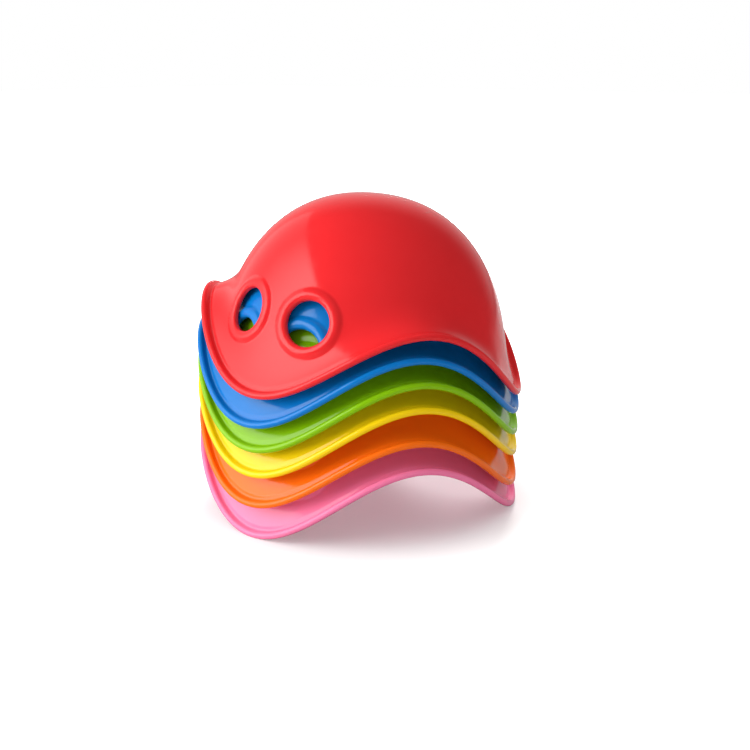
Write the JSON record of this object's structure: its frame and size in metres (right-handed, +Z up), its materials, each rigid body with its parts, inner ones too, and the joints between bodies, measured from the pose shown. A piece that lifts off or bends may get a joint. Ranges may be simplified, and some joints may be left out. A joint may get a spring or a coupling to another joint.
{
  "type": "nesting play shell stack",
  "caption": "Stack of identical glossy plastic shells, each a dome with two ringed eye holes on a wavy three-footed brim with a bead, nested one over another.",
  "frame": {"origin": "on the ground under the middle of the stack's outline", "axes": "+Z up along the stack; -Y the way that the eye holes and the front foot face; +X completes the right-handed frame"},
  "size_m": [0.1405, 0.1419, 0.1314],
  "materials": {
    "pink_plastic": "high gloss moulded",
    "orange_plastic": "high gloss moulded",
    "yellow_plastic": "high gloss moulded",
    "green_plastic": "high gloss moulded",
    "blue_plastic": "high gloss moulded",
    "red_plastic": "high gloss moulded"
  },
  "bodies": {
    "pink": {"pink_shell": "pink_plastic"},
    "orange": {"orange_shell": "orange_plastic"},
    "yellow": {"yellow_shell": "yellow_plastic"},
    "green": {"green_shell": "green_plastic"},
    "blue": {"blue_shell": "blue_plastic"},
    "red": {"red_shell": "red_plastic"}
  },
  "joints": [
    {"name": "orange_lift", "type": "slide", "parent": "pink", "child": "orange", "axis": [0.0144, 0.0242, 0.9996], "range_m": [0, 0.08]},
    {"name": "yellow_lift", "type": "slide", "parent": "orange", "child": "yellow", "axis": [0.0069, 0.0279, 0.9996], "range_m": [0, 0.08]},
    {"name": "green_lift", "type": "slide", "parent": "yellow", "child": "green", "axis": [0.0105, 0.0384, 0.9992], "range_m": [0, 0.08]},
    {"name": "blue_lift", "type": "slide", "parent": "green", "child": "blue", "axis": [0.013, 0.0399, 0.9991], "range_m": [0, 0.08]},
    {"name": "red_lift", "type": "slide", "parent": "blue", "child": "red", "axis": [0.0518, 0.0631, 0.9967], "range_m": [0, 0.08]}
  ]
}
